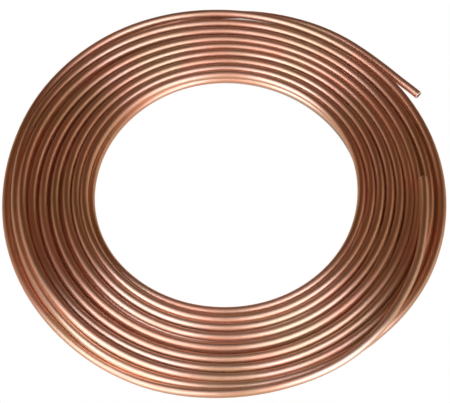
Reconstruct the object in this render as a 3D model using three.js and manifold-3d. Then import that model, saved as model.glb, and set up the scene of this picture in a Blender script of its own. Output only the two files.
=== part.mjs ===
// A flat coil of soft copper tube, in millimetres, +Z up, lying on its underside at z = 0.
// One length of tube is wound in two layers round an open eye. The lower layer's free end
// swings out past the outermost turn, and the upper layer's free end climbs back over the
// turns and lies in a groove between them. The wound pack is one turned solid whose turns
// stand out as half-round crests above and below and on both walls, and the two free ends
// are real hollow tube that grows out of it.

import * as THREE from 'three';
import { mergeVertices } from 'three/addons/utils/BufferGeometryUtils.js';
import Module from 'manifold-3d';

// The tube.
const TUBE_OD = 6.35;
const TUBE_WALL = 0.762;

// The wound pack.
const EYE_DIAMETER = 200.6;
const TURNS_PER_LAYER = 9;
const TURN_GAP = 1.25; // between neighbouring turns of one layer

// The lower layer's free end, anticlockwise from +X seen from above.
const TAIL_CUT_ANGLE = 30;
const TAIL_ROOT_ANGLE = 112;
const TAIL_SWING = 11.2; // how far outside the outermost turn its cut end lies
const TAIL_SWING_POWER = 1.5;

// The upper layer's free end.
const TOP_ROOT_ANGLE = 290;
const TOP_CUT_ANGLE = 365;
const TOP_GROOVES_IN = 2; // the groove it lies in, counted from the outermost turn
const TOP_CLEARANCE = 0.4; // to the turns it lies on
const TOP_CLIMB_SHARE = 0.3; // the share of its length in which it climbs on to the pack
const TOP_STRAIGHT_SHARE = 0.2; // the share of its length before it starts to move inward

// Facets.
const PACK_SIDES = 40;
const CREST_FLATS = 5;
const TUBE_SIDES = 12;
const END_STEP_ANGLE = 5.5;
const ROOT_INSET = 0.02; // the free ends start this far inside the turn they grow out of
const BORE_START_SHARE = 0.1; // the bores end blind in the pack, this share along a free end
const BORE_END_SHARE = 1.02; // past the cut, so that the bores are open
const MERGE_DISTANCE = 1e-4;

const tubeRadius = TUBE_OD / 2;
const turnPitch = TUBE_OD + TURN_GAP;
const innerTurnRadius = EYE_DIAMETER / 2 + tubeRadius;
const outerTurnRadius = innerTurnRadius + (TURNS_PER_LAYER - 1) * turnPitch;
const lowerRowHeight = tubeRadius;
const upperRowHeight = lowerRowHeight + TUBE_OD;

const copper = new THREE.MeshStandardMaterial({
  name: 'bright_copper',
  color: new THREE.Color(0.78, 0.4, 0.26),
  roughness: 0.28,
  metalness: 1,
});

// One corner of a turn's many-sided section. Its flats touch the round section, and its
// two side corners lie on it, so that the turn is a tube's height and a tube's width.
function crestCorner(turnRadius, rowHeight, flatIndex) {
  const angle = (flatIndex * Math.PI) / CREST_FLATS;
  const onSide = flatIndex % CREST_FLATS === 0;
  const reach = onSide ? tubeRadius : tubeRadius / Math.cos(Math.PI / (2 * CREST_FLATS));
  return new THREE.Vector2(turnRadius + reach * Math.cos(angle), rowHeight + reach * Math.sin(angle));
}

function turnRadii() {
  return Array.from({ length: TURNS_PER_LAYER }, (_, turn) => innerTurnRadius + turn * turnPitch);
}

// The section of the pack, once round: the underside outward, the outer wall up, the top
// inward and the inner wall down. A row's crests are joined at half a tube's height.
function packSection() {
  const outward = turnRadii();
  const inward = turnRadii().reverse();
  const wallFlats = (CREST_FLATS - 1) / 2;
  const section = [];
  for (const radius of outward) {
    for (let flat = CREST_FLATS; flat <= 2 * CREST_FLATS; flat += 1) {
      section.push(crestCorner(radius, lowerRowHeight, flat));
    }
  }
  for (let flat = 1; flat <= wallFlats; flat += 1) {
    section.push(crestCorner(outerTurnRadius, lowerRowHeight, flat));
  }
  for (let flat = -wallFlats + 1; flat < 0; flat += 1) {
    section.push(crestCorner(outerTurnRadius, upperRowHeight, flat));
  }
  for (const radius of inward) {
    for (let flat = 0; flat <= CREST_FLATS; flat += 1) {
      section.push(crestCorner(radius, upperRowHeight, flat));
    }
  }
  for (let flat = CREST_FLATS + 1; flat <= CREST_FLATS + wallFlats; flat += 1) {
    section.push(crestCorner(innerTurnRadius, upperRowHeight, flat));
  }
  for (let flat = CREST_FLATS - wallFlats + 1; flat < CREST_FLATS; flat += 1) {
    section.push(crestCorner(innerTurnRadius, lowerRowHeight, flat));
  }
  section.push(section[0].clone());
  return section;
}

function packGeometry() {
  const geometry = new THREE.LatheGeometry(packSection(), PACK_SIDES);
  geometry.rotateX(Math.PI / 2);
  return geometry;
}

// A stretch of a free end's centre line. Share 0 is its root in the pack and 1 is its cut.
class FreeEndLine extends THREE.Curve {
  constructor(freeEnd, startShare, endShare) {
    super();
    this.freeEnd = freeEnd;
    this.startShare = startShare;
    this.endShare = endShare;
  }

  getPoint(along, target = new THREE.Vector3()) {
    const { rootAngle, cutAngle, radiusAt, heightAt } = this.freeEnd;
    const share = THREE.MathUtils.lerp(this.startShare, this.endShare, along);
    const angle = THREE.MathUtils.degToRad(THREE.MathUtils.lerp(rootAngle, cutAngle, share));
    const radius = radiusAt(share);
    return target.set(radius * Math.cos(angle), radius * Math.sin(angle), heightAt(share));
  }
}

// The lower layer's end stays on the floor and swings out more and more towards its cut.
const tail = {
  rootAngle: TAIL_ROOT_ANGLE,
  cutAngle: TAIL_CUT_ANGLE,
  radiusAt: (share) => outerTurnRadius + TAIL_SWING * share ** TAIL_SWING_POWER,
  heightAt: () => lowerRowHeight,
};

// How high a tube's centre is when it lies across the upper row at this radius.
function heightOnPack(radius) {
  const reach = TUBE_OD + TOP_CLEARANCE;
  const rises = turnRadii().map((turn) => Math.sqrt(Math.max(0, reach ** 2 - (radius - turn) ** 2)));
  return upperRowHeight + Math.max(...rises);
}

// The upper layer's end climbs on to the outermost turn, crosses the next and settles in a groove.
const grooveRadius = outerTurnRadius - (TOP_GROOVES_IN - 0.5) * turnPitch;
const topEnd = {
  rootAngle: TOP_ROOT_ANGLE,
  cutAngle: TOP_CUT_ANGLE,
  radiusAt: (share) => {
    const moved = THREE.MathUtils.smoothstep(share, TOP_STRAIGHT_SHARE, 1);
    return THREE.MathUtils.lerp(outerTurnRadius, grooveRadius, moved);
  },
  heightAt: (share) => {
    const climbed = THREE.MathUtils.smoothstep(share, 0, TOP_CLIMB_SHARE);
    return THREE.MathUtils.lerp(upperRowHeight, heightOnPack(topEnd.radiusAt(share)), climbed);
  },
};

function ringPoints(radius) {
  return Array.from({ length: TUBE_SIDES }, (_, side) => {
    const angle = ((side + 0.5) * 2 * Math.PI) / TUBE_SIDES;
    return new THREE.Vector2(radius * Math.cos(angle), radius * Math.sin(angle));
  });
}

// A round bar along a stretch of a free end.
function barGeometry(freeEnd, radius, startShare, endShare) {
  const sweepAngle = Math.abs(freeEnd.cutAngle - freeEnd.rootAngle) * (endShare - startShare);
  return new THREE.ExtrudeGeometry(new THREE.Shape(ringPoints(radius)), {
    steps: Math.ceil(sweepAngle / END_STEP_ANGLE),
    bevelEnabled: false,
    extrudePath: new FreeEndLine(freeEnd, startShare, endShare),
  });
}

function toSolid(wasm, geometry) {
  const bare = geometry.clone();
  bare.deleteAttribute('normal');
  bare.deleteAttribute('uv');
  const merged = mergeVertices(bare, MERGE_DISTANCE);
  const mesh = new wasm.Mesh({
    numProp: 3,
    vertProperties: merged.attributes.position.array,
    triVerts: new Uint32Array(merged.index.array),
  });
  return new wasm.Manifold(mesh);
}

function toGeometry(solid) {
  const mesh = solid.getMesh();
  const geometry = new THREE.BufferGeometry();
  geometry.setAttribute('position', new THREE.BufferAttribute(mesh.vertProperties, 3));
  geometry.setIndex(new THREE.BufferAttribute(mesh.triVerts, 1));
  geometry.computeVertexNormals();
  return geometry;
}

const wasm = await Module();
wasm.setup();

let tube = toSolid(wasm, packGeometry());
for (const freeEnd of [tail, topEnd]) {
  const bar = barGeometry(freeEnd, tubeRadius - ROOT_INSET, 0, 1);
  const bore = barGeometry(freeEnd, tubeRadius - TUBE_WALL, BORE_START_SHARE, BORE_END_SHARE);
  tube = tube.add(toSolid(wasm, bar)).subtract(toSolid(wasm, bore));
}

const copperTube = new THREE.Mesh(toGeometry(tube), copper);
copperTube.name = 'copper_tube';

const coil = new THREE.Group();
coil.name = 'copper_tube_coil';
coil.add(copperTube);

export default coil;
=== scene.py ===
# A coil of soft copper tube, in metres, +Z up, lying on the floor at z = 0. One length of tube
# is wound in two layers: the lower one spirals inward from its free end and climbs at the eye,
# and the upper one spirals outward over it. Its last turn drops to the floor beside the lower
# layer, climbs back on to the turns and ends between two of them.

import math

import bpy
from mathutils import Matrix, Vector


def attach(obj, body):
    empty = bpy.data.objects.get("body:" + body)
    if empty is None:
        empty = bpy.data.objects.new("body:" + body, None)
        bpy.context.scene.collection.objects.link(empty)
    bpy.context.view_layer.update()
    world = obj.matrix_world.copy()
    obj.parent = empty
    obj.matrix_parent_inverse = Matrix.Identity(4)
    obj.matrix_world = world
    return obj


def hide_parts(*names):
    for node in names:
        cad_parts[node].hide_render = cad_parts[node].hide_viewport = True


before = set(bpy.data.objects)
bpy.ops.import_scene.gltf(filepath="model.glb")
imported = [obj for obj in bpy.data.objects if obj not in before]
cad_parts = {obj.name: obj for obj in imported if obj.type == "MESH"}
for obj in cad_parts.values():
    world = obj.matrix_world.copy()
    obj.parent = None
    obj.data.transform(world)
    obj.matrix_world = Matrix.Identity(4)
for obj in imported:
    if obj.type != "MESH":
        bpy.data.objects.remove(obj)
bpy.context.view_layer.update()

# The tube.
TUBE_DIAMETER = 0.00635
TUBE_WALL = 0.00076
TUBE_SIDES = 24
BORE_SIDES = 12
RING_STEP = 2.75  # degrees of winding between two rings of the mesh
RIM_ROLL = 0.0003  # the cut edge is rolled in by this much
RIM_ANGLE = 0.15  # degrees of winding in which it rolls in
SHARP_FROM = math.radians(25)  # edges bent more than this are drawn sharp
RUN_MAP = "drawn_run"  # the UV map that says how far along and round the tube a point is

# Heights of the two layers' centre lines.
LOWER_LAYER = 0.5 * TUBE_DIAMETER
UPPER_LAYER = 1.5 * TUBE_DIAMETER

# The winding angle runs on from turn to turn, in degrees, anticlockwise from +X seen from above.
TAIL_CUT = 30.2
TAIL_JOINS = 390
CLIMB_STARTS = 2970
CLIMB_ENDS = 3330
LAST_TURNS_START = 5340
TOP_CUT = 6483

# The lower layer: a spiral, laid wider on one side, from the tail to the climb.
LOWER_INNER_RADIUS = 0.1037
LOWER_INNER_ANGLE = 3060
LOWER_TURN_STEP = 0.00696
LOWER_STEP_SWING = 0.00057
LOWER_WIDE_SIDE = 30

# The upper layer, turn by turn: the radius where a turn starts, the share of its way out to
# the next that it makes in its later move, and the angles where that move begins and ends.
UPPER_TURNS = [
    (0.1018, 0.42, 510, 660),
    (0.1077, 0.39, 520, 660),
    (0.1142, 0.42, 530, 660),
    (0.1219, 0.47, 475, 630),
    (0.1297, 0.63, 445, 620),
    (0.1384, 0.83, 430, 590),
]
UPPER_STARTS = 3180  # this, and so each turn's start, lies 300 degrees round the coil
EARLY_MOVE_STARTS = 305
EARLY_MOVE_ENDS = 390
BULGE = 0.0007  # the inner turns stand out this much on one side
BULGE_ANGLE = 412
BULGE_HALF = 55
BULGE_TURNS = 4  # the bulge is whole up to this turn
BULGE_FADE = 2  # and fades away over so many more

# The lower free end, the climb at the eye and the loose last turns with the upper free end:
# winding angle, radius and height.
TAIL_ROUTE = [
    (TAIL_CUT, 0.1763, 0.0050),
    (36, 0.1719, 0.0060),
    (42, 0.1698, 0.0067),
    (48, 0.1690, 0.0071),
    (55, 0.1691, 0.0073),
    (62, 0.1694, 0.0068),
    (70, 0.1696, 0.0055),
    (80, 0.1695, 0.0041),
    (92, 0.1682, LOWER_LAYER),
    (105, 0.1663, LOWER_LAYER),
    (120, 0.1646, LOWER_LAYER),
    (135, 0.1631, LOWER_LAYER),
    (150, 0.1611, LOWER_LAYER),
    (165, 0.1591, LOWER_LAYER),
    (180, 0.1580, LOWER_LAYER),
    (205, 0.1576, LOWER_LAYER),
    (240, 0.1575, LOWER_LAYER),
    (270, 0.1574, LOWER_LAYER),
    (290, 0.1580, LOWER_LAYER),
    (300, 0.1590, LOWER_LAYER),
    (310, 0.1600, LOWER_LAYER),
    (320, 0.1606, LOWER_LAYER),
    (330, 0.1609, LOWER_LAYER),
    (345, 0.1612, LOWER_LAYER),
    (360, 0.1609, LOWER_LAYER),
    (TAIL_JOINS, 0.1596, LOWER_LAYER),
]
CLIMB_ROUTE = [
    (CLIMB_STARTS, 0.1055, LOWER_LAYER),
    (2990, 0.1046, LOWER_LAYER),
    (3010, 0.1031, LOWER_LAYER),
    (3030, 0.1018, LOWER_LAYER),
    (3050, 0.1010, LOWER_LAYER),
    (3070, 0.1009, 0.0034),
    (3090, 0.1006, 0.0040),
    (3110, 0.1000, 0.0050),
    (3130, 0.0998, 0.0060),
    (3150, 0.0999, 0.0068),
    (3180, 0.1008, 0.0076),
    (3210, 0.1019, 0.0083),
    (3225, 0.1025, 0.0088),
    (3240, 0.1033, 0.0093),
    (3255, 0.1044, UPPER_LAYER),
    (3270, 0.1052, UPPER_LAYER),
    (3285, 0.1058, UPPER_LAYER),
    (3300, 0.1058, UPPER_LAYER),
    (CLIMB_ENDS, 0.1054, UPPER_LAYER),
]
LAST_TURNS_ROUTE = [
    (LAST_TURNS_START, 0.1456, UPPER_LAYER),
    (5370, 0.1457, UPPER_LAYER),
    (5400, 0.1459, UPPER_LAYER),
    (5430, 0.1464, UPPER_LAYER),
    (5460, 0.1468, UPPER_LAYER),
    (5490, 0.1479, UPPER_LAYER),
    (5520, 0.1504, UPPER_LAYER),
    # It rides up between its neighbours.
    (5540, 0.1515, 0.0100),
    (5565, 0.1520, 0.0118),
    (5590, 0.1518, 0.0132),
    (5610, 0.1521, 0.0137),
    (5630, 0.1528, 0.0127),
    (5650, 0.1530, 0.0110),
    (5675, 0.1528, 0.0096),
    # It lies on the lower layer again.
    (5700, 0.1532, UPPER_LAYER),
    (5730, 0.1538, UPPER_LAYER),
    (5760, 0.1545, UPPER_LAYER),
    (5790, 0.1542, UPPER_LAYER),
    (5820, 0.1542, UPPER_LAYER),
    (5850, 0.1556, UPPER_LAYER),
    (5880, 0.1582, UPPER_LAYER),
    (5910, 0.1595, UPPER_LAYER),
    (5925, 0.1587, UPPER_LAYER),
    (5940, 0.1572, UPPER_LAYER),
    (5970, 0.1567, 0.0094),
    (5985, 0.1581, UPPER_LAYER),
    (6000, 0.1595, UPPER_LAYER),
    (6030, 0.1594, UPPER_LAYER),
    (6060, 0.1600, UPPER_LAYER),
    (6075, 0.1621, UPPER_LAYER),
    (6090, 0.1634, UPPER_LAYER),
    (6105, 0.1636, UPPER_LAYER),
    (6120, 0.1633, UPPER_LAYER),
    (6150, 0.1628, UPPER_LAYER),
    (6180, 0.1626, UPPER_LAYER),
    (6210, 0.1650, UPPER_LAYER),
    (6225, 0.1666, UPPER_LAYER),
    # It drops to the floor beside the lower layer.
    (6240, 0.1678, 0.0089),
    (6255, 0.1678, 0.0076),
    (6270, 0.1671, 0.0058),
    (6285, 0.1655, 0.0039),
    (6300, 0.1645, LOWER_LAYER),
    (6330, 0.1640, LOWER_LAYER),
    # It climbs on to the turns, crosses the two outermost and lies in the groove inside them.
    (6345, 0.1640, 0.0037),
    (6360, 0.1650, 0.0057),
    (6372, 0.1659, 0.0083),
    (6388, 0.1658, 0.0120),
    (6405, 0.1653, 0.0144),
    (6420, 0.1647, 0.0156),
    (6435, 0.1612, 0.0160),
    (6443, 0.1581, 0.0157),
    (6450, 0.1560, 0.0157),
    (6457, 0.1540, 0.0160),
    (6465, 0.1515, 0.0156),
    (6474, 0.1500, 0.0147),
    (TOP_CUT, 0.1496, 0.0144),
]

# Copper's colours.
CLEAN_COPPER = (0.94, 0.67, 0.51)
RED_COPPER = (0.92, 0.52, 0.35)
OLIVE_COPPER = (0.85, 0.62, 0.41)
DARK_COPPER = (0.66, 0.36, 0.21)
# Painted light: the upper free end is painted paler, for the light it catches lying above the
# other turns.
PAINTED_LIT_END_COPPER = (1.0, 0.78, 0.60)
# Painted highlight: the rims at both cuts are painted near white.
PAINTED_RIM_HIGHLIGHT = (0.98, 0.86, 0.77)

# Copper's marks are noises drawn out along the tube: how many to a metre along it and round it.
PATCHES = {"along": 14, "around": 160, "detail": 3, "roughness": 0.6}
STREAKS = {"along": 18, "around": 900, "detail": 3}
DRAWN_LINES = {"along": 12, "around": 500, "detail": 2}
HANDLED_PER_METRE = 22  # these marks take no heed of the turns and run across them
HANDLED_DETAIL = 2

# A mark colours the copper from the first number on, and fully from the second. Where there
# are four, its strength goes from the third to the fourth.
RED_SHOWS = (0.40, 0.62)
OLIVE_SHOWS = (0.48, 0.66, 0.0, 0.85)
DARK_SHOWS = (0.55, 0.75, 0.0, 0.55)
# The painted paler upper end, which stands in for the light it catches:
LIT_END_SHOWS = (0.22, 0.14, 0.0, 0.8)  # metres from the upper cut
# Where the painted rim highlight shows:
RIM_HIGHLIGHT_SHOWS = (0.0006, 0.0005)  # metres from either cut

# Copper's roughness, by its patches, and what the finer marks add to it.
NOISE_LOW = 0.3
NOISE_HIGH = 0.7
PATCH_ROUGHNESS = (0.34, 0.44)
LINE_ROUGHNESS = (-0.02, 0.03)
SAWN_ROUGHNESS = 0.25
LIT_END_ROUGHNESS = 0.02
LINE_DEPTH = 0.00004
LINE_STRENGTH = 0.10
DRAWN_GLOSS = 0.68  # how far the drawn lines spread a reflection to their sides
DRAWN_GLOSS_TURN = 0.25  # a quarter turn from the way that the lines run

# The floor is white, dim in the copper, and painted dark between two circles under the turns, as
# painted shade.
FLOOR_SIZE = 6.0
FLOOR_WHITE = (1.0, 1.0, 1.0)
FLOOR_IN_COPPER = (0.50, 0.40, 0.32)
# Painted shade: the floor's colour under the turns.
PAINTED_SHADE_UNDER_COIL = (0.12, 0.05, 0.022)
COVERED_FROM = 0.1045
COVERED_TO = 0.1625
INNER_CENTRE = (0.0, 0.0, 0.0)
OUTER_CENTRE = (0.0, 0.004, 0.0)
COVER_EDGE = 0.0012

# The strip lights: name, where each starts and ends, width in metres and power in watts.
LIGHT_COLOUR = (0.94, 1.01, 1.22)
STRIP_LIGHTS = [
    ("left_light", (-0.25, -0.25, 0.82), (-0.58, -0.64, 0.0), 0.70, 3.4),
    ("right_light", (0.235, -0.265, 0.82), (0.545, -0.68, 0.0), 0.62, 2.9),
    ("top_light", (0.0, 0.22, 0.9), (0.0, -0.36, 0.9), 0.5, 0.12),
]

# The room that the copper reflects is dark, with a paler belt round it and a paler front.
# Places in it are directions: X to the right, Y to the back and Z up, each from -1 to 1.
ROOM_DARK = (0.082, 0.027, 0.003)
ROOM_BELT = (1.22, 0.87, 0.66)
ROOM_FRONT = (0.71, 0.45, 0.33)
BELT_HEIGHT = 0.33
BELT_HALF = 0.19
BELT_STOPS = (0.72, 0.5)  # towards the back
BELT_TO_FRONT = (0.5, 0.1, 0.9, 2.2)  # it is stronger to the front
BELT_TO_RIGHT = (-1.0, 1.0, 0.55, 1.0)  # and to the right
FRONT_SHOWS = (0.12, -0.4, 0.0, 0.8)

# The camera looks at this point from the near side.
CAMERA_TARGET = Vector((0.00049, -0.00454, 0))
CAMERA_AWAY = 1.134
CAMERA_ELEVATION = math.radians(60)
HALF_WIDTH_PIXELS = 225
FOCAL_LENGTH_PIXELS = 1500


def smooth_step(start, end, value):
    share = min(1, max(0, (value - start) / (end - start)))
    return share * share * (3 - 2 * share)


def slope_at(route, place, column):
    before = route[max(0, place - 1)]
    after = route[min(len(route) - 1, place + 1)]
    return (after[column] - before[column]) / (after[0] - before[0])


def along_route(route, angle):
    """Radius and height on a smooth curve through a route's points."""
    place = max(i for i in range(len(route) - 1) if route[i][0] <= angle)
    start, end = route[place], route[place + 1]
    width = end[0] - start[0]
    share = (angle - start[0]) / width
    blend = smooth_step(0, 1, share)
    values = []
    for column in (1, 2):
        leave = slope_at(route, place, column) * width
        arrive = slope_at(route, place + 1, column) * width
        value = start[column] + (end[column] - start[column]) * blend
        value += leave * share * (1 - share) ** 2 - arrive * share ** 2 * (1 - share)
        values.append(value)
    radius, height = values
    return radius, max(LOWER_LAYER, height)


def lower_radius(angle):
    turns_left = (LOWER_INNER_ANGLE - angle) / 360
    swing = LOWER_STEP_SWING * math.cos(math.radians(angle - LOWER_WIDE_SIDE))
    return LOWER_INNER_RADIUS + (LOWER_TURN_STEP + swing) * turns_left


def upper_radius(angle):
    turn, within = divmod(angle - UPPER_STARTS, 360)
    turn = int(turn)
    place = UPPER_STARTS % 360 + within
    start, late_share, late_starts, late_ends = UPPER_TURNS[turn]
    starts = [row[0] for row in UPPER_TURNS] + [LAST_TURNS_ROUTE[0][1]]
    early = smooth_step(EARLY_MOVE_STARTS, EARLY_MOVE_ENDS, place)
    late = smooth_step(late_starts, late_ends, place)
    moved = (1 - late_share) * early + late_share * late
    bulge = BULGE * (1 - smooth_step(0, BULGE_HALF, abs(place - BULGE_ANGLE)))
    bulge *= 1 - smooth_step(BULGE_TURNS, BULGE_TURNS + BULGE_FADE, turn + 1)
    return start + (starts[turn + 1] - start) * moved + bulge


def winding(angle):
    """Radius and height of the tube's centre line at a winding angle."""
    if angle < TAIL_JOINS:
        return along_route(TAIL_ROUTE, angle)
    if angle < CLIMB_STARTS:
        return lower_radius(angle), LOWER_LAYER
    if angle < CLIMB_ENDS:
        return along_route(CLIMB_ROUTE, angle)
    if angle < LAST_TURNS_START:
        return upper_radius(angle), UPPER_LAYER
    return along_route(LAST_TURNS_ROUTE, angle)


def centre_point(angle):
    radius, height = winding(angle)
    turned = math.radians(angle)
    return Vector((radius * math.cos(turned), radius * math.sin(turned), height))


def centre_line():
    rings = math.ceil((TOP_CUT - TAIL_CUT) / RING_STEP)
    step = (TOP_CUT - TAIL_CUT) / rings
    angles = [TAIL_CUT + step * ring for ring in range(rings + 1)]
    angles.insert(1, TAIL_CUT + RIM_ANGLE)
    angles.insert(-1, TOP_CUT - RIM_ANGLE)
    return [centre_point(angle) for angle in angles]


def section_frames(line):
    """At each point of the line, the tube's sideways and upward directions."""
    frames = []
    for place in range(len(line)):
        ahead = line[min(place + 1, len(line) - 1)] - line[max(place - 1, 0)]
        side = ahead.cross(Vector((0, 0, 1))).normalized()
        up = side.cross(ahead).normalized()
        frames.append((side, up))
    return frames


def ring(centre, side, up, radius, sides):
    points = []
    for corner in range(sides):
        turned = 2 * math.pi * corner / sides
        points.append(centre + radius * (math.cos(turned) * side + math.sin(turned) * up))
    return points


def wall_faces(rings, sides, first, outward):
    faces = []
    for row in range(rings - 1):
        for corner in range(sides):
            a = first + row * sides + corner
            b = first + row * sides + (corner + 1) % sides
            quad = (a, b, b + sides, a + sides)
            faces.append(quad if outward else quad[::-1])
    return faces


def cut_faces(outer_first, bore_first, outward_start):
    """The flat ring between the outer wall and the bore at one end."""
    ratio = TUBE_SIDES // BORE_SIDES
    faces = []
    for corner in range(BORE_SIDES):
        following = (corner + 1) % BORE_SIDES
        outer = [outer_first + (corner * ratio + k) % TUBE_SIDES for k in range(ratio + 1)]
        face = [*outer, bore_first + following, bore_first + corner]
        faces.append(face[::-1] if outward_start else face)
    return faces


def run_lengths(line):
    """How far along the tube each point of the line is, in metres."""
    runs = [0.0]
    for before, after in zip(line, line[1:]):
        runs.append(runs[-1] + (after - before).length)
    return runs


def write_run_map(mesh, runs):
    """Each face corner's place along the tube, in metres, and round it, from 0 to 1."""
    bore_first = len(runs) * TUBE_SIDES
    layer = mesh.uv_layers.new(name=RUN_MAP)
    for polygon in mesh.polygons:
        places = []
        for index in polygon.vertices:
            inside = index >= bore_first
            sides = BORE_SIDES if inside else TUBE_SIDES
            row, corner = divmod(index - bore_first if inside else index, sides)
            places.append((runs[row], corner / sides))
        shares = [share for _, share in places]
        wraps = min(shares) == 0 and max(shares) > 0.5
        for loop, (run, share) in zip(polygon.loop_indices, places):
            layer.data[loop].uv = (run, 1.0 if wraps and share == 0 else share)


def make_tube(line, runs):
    frames = section_frames(line)
    outer = TUBE_DIAMETER / 2
    bore = outer - TUBE_WALL
    last = len(line) - 1
    points = []
    for place, (centre, (side, up)) in enumerate(zip(line, frames)):
        radius = outer - RIM_ROLL if place in (0, last) else outer
        points += ring(centre, side, up, radius, TUBE_SIDES)
    bore_first = len(points)
    for centre, (side, up) in zip(line, frames):
        points += ring(centre, side, up, bore, BORE_SIDES)
    faces = wall_faces(len(line), TUBE_SIDES, 0, True)
    faces += wall_faces(len(line), BORE_SIDES, bore_first, False)
    faces += cut_faces(0, bore_first, True)
    faces += cut_faces(last * TUBE_SIDES, bore_first + last * BORE_SIDES, False)
    mesh = bpy.data.meshes.new("copper_tube_wound")
    mesh.from_pydata(points, [], faces)
    mesh.update()
    write_run_map(mesh, runs)
    tube = bpy.data.objects.new("copper_tube_wound", mesh)
    bpy.context.scene.collection.objects.link(tube)
    mesh.shade_smooth()
    mesh.set_sharp_from_angle(angle=SHARP_FROM)
    return tube


def add_node(tree, kind, inputs=(), **settings):
    """A node with its settings made, and each input given a number, a colour or a socket."""
    node = tree.nodes.new(kind)
    for name, value in settings.items():
        setattr(node, name, value)
    for name, value in dict(inputs).items():
        if isinstance(value, bpy.types.NodeSocket):
            tree.links.new(value, node.inputs[name])
        else:
            node.inputs[name].default_value = value
    return node


def arithmetic(tree, operation, first, second=0.0):
    """One step of arithmetic on one or two values, each a number or a socket."""
    node = add_node(tree, "ShaderNodeMath", operation=operation, inputs={0: first, 1: second})
    return node.outputs[0]


def distance(tree, place, point):
    ends = {0: place, 1: point}
    node = add_node(tree, "ShaderNodeVectorMath", operation="DISTANCE", inputs=ends)
    return node.outputs["Value"]


def remap(tree, value, low, high, to_low=0.0, to_high=1.0):
    sizes = {"From Min": low, "From Max": high, "To Min": to_low, "To Max": to_high}
    node = add_node(tree, "ShaderNodeMapRange", inputs={"Value": value, **sizes})
    return node.outputs["Result"]


def noise(tree, place, detail, roughness=0.5):
    sizes = {"Scale": 1.0, "Detail": detail, "Roughness": roughness}
    node = add_node(tree, "ShaderNodeTexNoise", inputs={"Vector": place, **sizes})
    return node.outputs["Fac"]


def mixed_colour(tree, share, first, second):
    node = add_node(tree, "ShaderNodeMix", data_type="RGBA", inputs={"Factor": share})
    for socket, value in ((node.inputs[6], first), (node.inputs[7], second)):
        if isinstance(value, bpy.types.NodeSocket):
            tree.links.new(value, socket)
        else:
            socket.default_value = (*value, 1)
    return node.outputs[2]


class TubePlace:
    """Where a point lies on the tube: how far along it, and which way round its section."""

    def __init__(self, tree):
        self.tree = tree
        run_map = add_node(tree, "ShaderNodeUVMap", uv_map=RUN_MAP)
        split = add_node(tree, "ShaderNodeSeparateXYZ", inputs={0: run_map.outputs[0]})
        turned = arithmetic(tree, "MULTIPLY", split.outputs["Y"], 2 * math.pi)
        self.run = split.outputs["X"]
        self.across = arithmetic(tree, "COSINE", turned)
        self.upright = arithmetic(tree, "SINE", turned)

    def marks(self, along, around, detail, roughness=0.5):
        """A noise drawn out along the tube, which closes without a seam round it."""
        reach = around * TUBE_DIAMETER / 2
        place = {
            "X": arithmetic(self.tree, "MULTIPLY", self.run, along),
            "Y": arithmetic(self.tree, "MULTIPLY", self.across, reach),
            "Z": arithmetic(self.tree, "MULTIPLY", self.upright, reach),
        }
        joined = add_node(self.tree, "ShaderNodeCombineXYZ", inputs=place)
        return noise(self.tree, joined.outputs["Vector"], detail, roughness)


def handled_marks(tree):
    place = add_node(tree, "ShaderNodeTexCoord").outputs["Object"]
    sizes = {0: place, "Scale": HANDLED_PER_METRE}
    spread = add_node(tree, "ShaderNodeVectorMath", operation="SCALE", inputs=sizes)
    return noise(tree, spread.outputs[0], HANDLED_DETAIL)


def copper_finish(length):
    """Bright drawn copper with redder, darker and more olive marks, a painted highlight on the
    cut rims, and a painted paler upper end for the light that it catches.
    """
    material = bpy.data.materials.new("drawn_copper")
    material.use_nodes = True
    tree = material.node_tree
    shader = tree.nodes["Principled BSDF"]
    tube_place = TubePlace(tree)
    streaks = tube_place.marks(**STREAKS)
    patches = tube_place.marks(**PATCHES)
    lines = tube_place.marks(**DRAWN_LINES)
    to_upper_cut = arithmetic(tree, "SUBTRACT", length, tube_place.run)
    to_cut = arithmetic(tree, "MINIMUM", tube_place.run, to_upper_cut)
    # Painted light: the last part of the upper free end is painted paler.
    painted_lit_end = remap(tree, to_upper_cut, *LIT_END_SHOWS)
    # Painted highlight on the rims at both cuts.
    cut_rim_highlight = remap(tree, to_cut, *RIM_HIGHLIGHT_SHOWS)

    colour = mixed_colour(tree, remap(tree, patches, *RED_SHOWS), CLEAN_COPPER, RED_COPPER)
    handled = remap(tree, handled_marks(tree), *OLIVE_SHOWS)
    colour = mixed_colour(tree, handled, colour, OLIVE_COPPER)
    colour = mixed_colour(tree, remap(tree, streaks, *DARK_SHOWS), colour, DARK_COPPER)
    # Painted light on the upper free end.
    colour = mixed_colour(tree, painted_lit_end, colour, PAINTED_LIT_END_COPPER)
    # Painted highlight on the cut rims.
    colour = mixed_colour(tree, cut_rim_highlight, colour, PAINTED_RIM_HIGHLIGHT)
    tree.links.new(colour, shader.inputs["Base Color"])

    roughness = remap(tree, patches, NOISE_LOW, NOISE_HIGH, *PATCH_ROUGHNESS)
    added = (
        remap(tree, lines, NOISE_LOW, NOISE_HIGH, *LINE_ROUGHNESS),
        remap(tree, cut_rim_highlight, 0.0, 1.0, 0.0, SAWN_ROUGHNESS),
        remap(tree, painted_lit_end, *LIT_END_SHOWS[2:], 0.0, LIT_END_ROUGHNESS),
    )
    for more in added:
        roughness = arithmetic(tree, "ADD", roughness, more)
    tree.links.new(roughness, shader.inputs["Roughness"])

    relief = {"Height": lines, "Strength": LINE_STRENGTH, "Distance": LINE_DEPTH}
    bump = add_node(tree, "ShaderNodeBump", inputs=relief)
    tree.links.new(bump.outputs["Normal"], shader.inputs["Normal"])
    drawn_way = add_node(tree, "ShaderNodeTangent", direction_type="UV_MAP", uv_map=RUN_MAP)
    tree.links.new(drawn_way.outputs["Tangent"], shader.inputs["Tangent"])
    shader.inputs["Metallic"].default_value = 1
    shader.inputs["Anisotropic"].default_value = DRAWN_GLOSS
    shader.inputs["Anisotropic Rotation"].default_value = DRAWN_GLOSS_TURN
    return material


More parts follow.
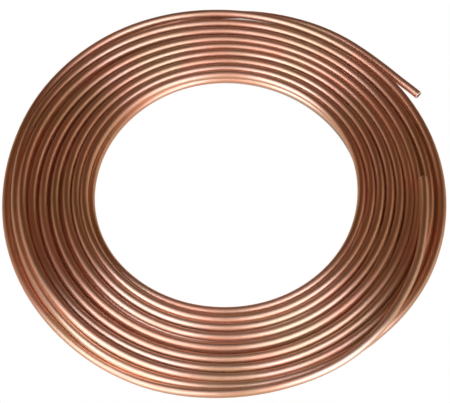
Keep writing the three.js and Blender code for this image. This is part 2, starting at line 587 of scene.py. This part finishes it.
def floor_finish():
    """A sheet that glows evenly white, but is dim in the copper and has painted shade under the
    turns.
    """
    material = bpy.data.materials.new("white_floor")
    material.use_nodes = True
    tree = material.node_tree
    tree.nodes.remove(tree.nodes["Principled BSDF"])
    seen = add_node(tree, "ShaderNodeLightPath")
    bright = mixed_colour(tree, seen.outputs["Is Camera Ray"], FLOOR_IN_COPPER, FLOOR_WHITE)
    place = add_node(tree, "ShaderNodeTexCoord").outputs["Object"]
    inner = distance(tree, place, INNER_CENTRE)
    outer = distance(tree, place, OUTER_CENTRE)
    beyond_inner = remap(tree, inner, COVERED_FROM - COVER_EDGE, COVERED_FROM)
    within_outer = remap(tree, outer, COVERED_TO + COVER_EDGE, COVERED_TO)
    # Painted shade: the floor is dark between two circles under the turns.
    under = arithmetic(tree, "MULTIPLY", beyond_inner, within_outer)
    colour = mixed_colour(tree, under, bright, PAINTED_SHADE_UNDER_COIL)
    glow = add_node(tree, "ShaderNodeEmission", inputs={"Color": colour})
    tree.links.new(glow.outputs["Emission"], tree.nodes["Material Output"].inputs["Surface"])
    return material


def make_floor():
    half = FLOOR_SIZE / 2
    corners = [(-half, -half, 0), (half, -half, 0), (half, half, 0), (-half, half, 0)]
    mesh = bpy.data.meshes.new("floor")
    mesh.from_pydata(corners, [], [(0, 1, 2, 3)])
    floor = bpy.data.objects.new("floor", mesh)
    bpy.context.scene.collection.objects.link(floor)
    mesh.materials.append(floor_finish())


def strip_light(name, start, end, width, power):
    """A long soft light between two points, turned to face the coil."""
    start, end = Vector(start), Vector(end)
    lamp = bpy.data.lights.new(name, "AREA")
    lamp.shape = "ELLIPSE"
    lamp.size = width
    lamp.size_y = (start - end).length
    lamp.energy = power
    lamp.color = LIGHT_COLOUR
    light = bpy.data.objects.new(name, lamp)
    middle = (start + end) / 2
    long_way = (start - end).normalized()
    across = long_way.cross(middle).normalized()
    away = across.cross(long_way)  # the coil is the other way, where a lamp shines
    light.matrix_world = Matrix((across, long_way, away)).transposed().to_4x4()
    light.location = middle
    light.visible_camera = False
    bpy.context.scene.collection.objects.link(light)


def make_world():
    """The room that the copper reflects. The camera sees a plain pale backdrop in its place."""
    world = bpy.data.worlds.new("studio")
    world.use_nodes = True
    tree = world.node_tree
    room = tree.nodes["Background"]
    place = add_node(tree, "ShaderNodeTexCoord").outputs["Generated"]
    split = add_node(tree, "ShaderNodeSeparateXYZ", inputs={0: place})
    right, back, up = split.outputs["X"], split.outputs["Y"], split.outputs["Z"]
    off_belt = arithmetic(tree, "ABSOLUTE", arithmetic(tree, "SUBTRACT", up, BELT_HEIGHT))
    belt = remap(tree, off_belt, BELT_HALF, 0.0)
    for way, change in ((back, BELT_STOPS), (back, BELT_TO_FRONT), (right, BELT_TO_RIGHT)):
        belt = arithmetic(tree, "MULTIPLY", belt, remap(tree, way, *change))
    colour = mixed_colour(tree, belt, ROOM_DARK, ROOM_BELT)
    colour = mixed_colour(tree, remap(tree, back, *FRONT_SHOWS), colour, ROOM_FRONT)
    tree.links.new(colour, room.inputs["Color"])
    pale = add_node(tree, "ShaderNodeBackground")
    seen = add_node(tree, "ShaderNodeLightPath")
    mix = add_node(tree, "ShaderNodeMixShader", inputs={"Fac": seen.outputs["Is Camera Ray"]})
    tree.links.new(room.outputs["Background"], mix.inputs[1])
    tree.links.new(pale.outputs["Background"], mix.inputs[2])
    tree.links.new(mix.outputs["Shader"], tree.nodes["World Output"].inputs["Surface"])
    bpy.context.scene.world = world


def make_camera():
    camera = bpy.data.objects.new("camera", bpy.data.cameras.new("camera"))
    towards = Vector((0, -math.cos(CAMERA_ELEVATION), math.sin(CAMERA_ELEVATION)))
    camera.location = CAMERA_TARGET + CAMERA_AWAY * towards
    facing = CAMERA_TARGET - camera.location
    camera.rotation_euler = facing.to_track_quat("-Z", "Y").to_euler()
    camera.data.sensor_fit = "HORIZONTAL"
    camera.data.angle = 2 * math.atan(HALF_WIDTH_PIXELS / FOCAL_LENGTH_PIXELS)
    camera.data.dof.use_dof = False
    bpy.context.scene.collection.objects.link(camera)
    bpy.context.scene.camera = camera


make_camera()
line = centre_line()
runs = run_lengths(line)
tube = make_tube(line, runs)
tube.data.materials.append(copper_finish(runs[-1]))
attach(tube, "root")
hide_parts("copper_tube")
make_floor()
for strip in STRIP_LIGHTS:
    strip_light(*strip)
make_world()
bpy.context.scene.view_settings.view_transform = "Standard"
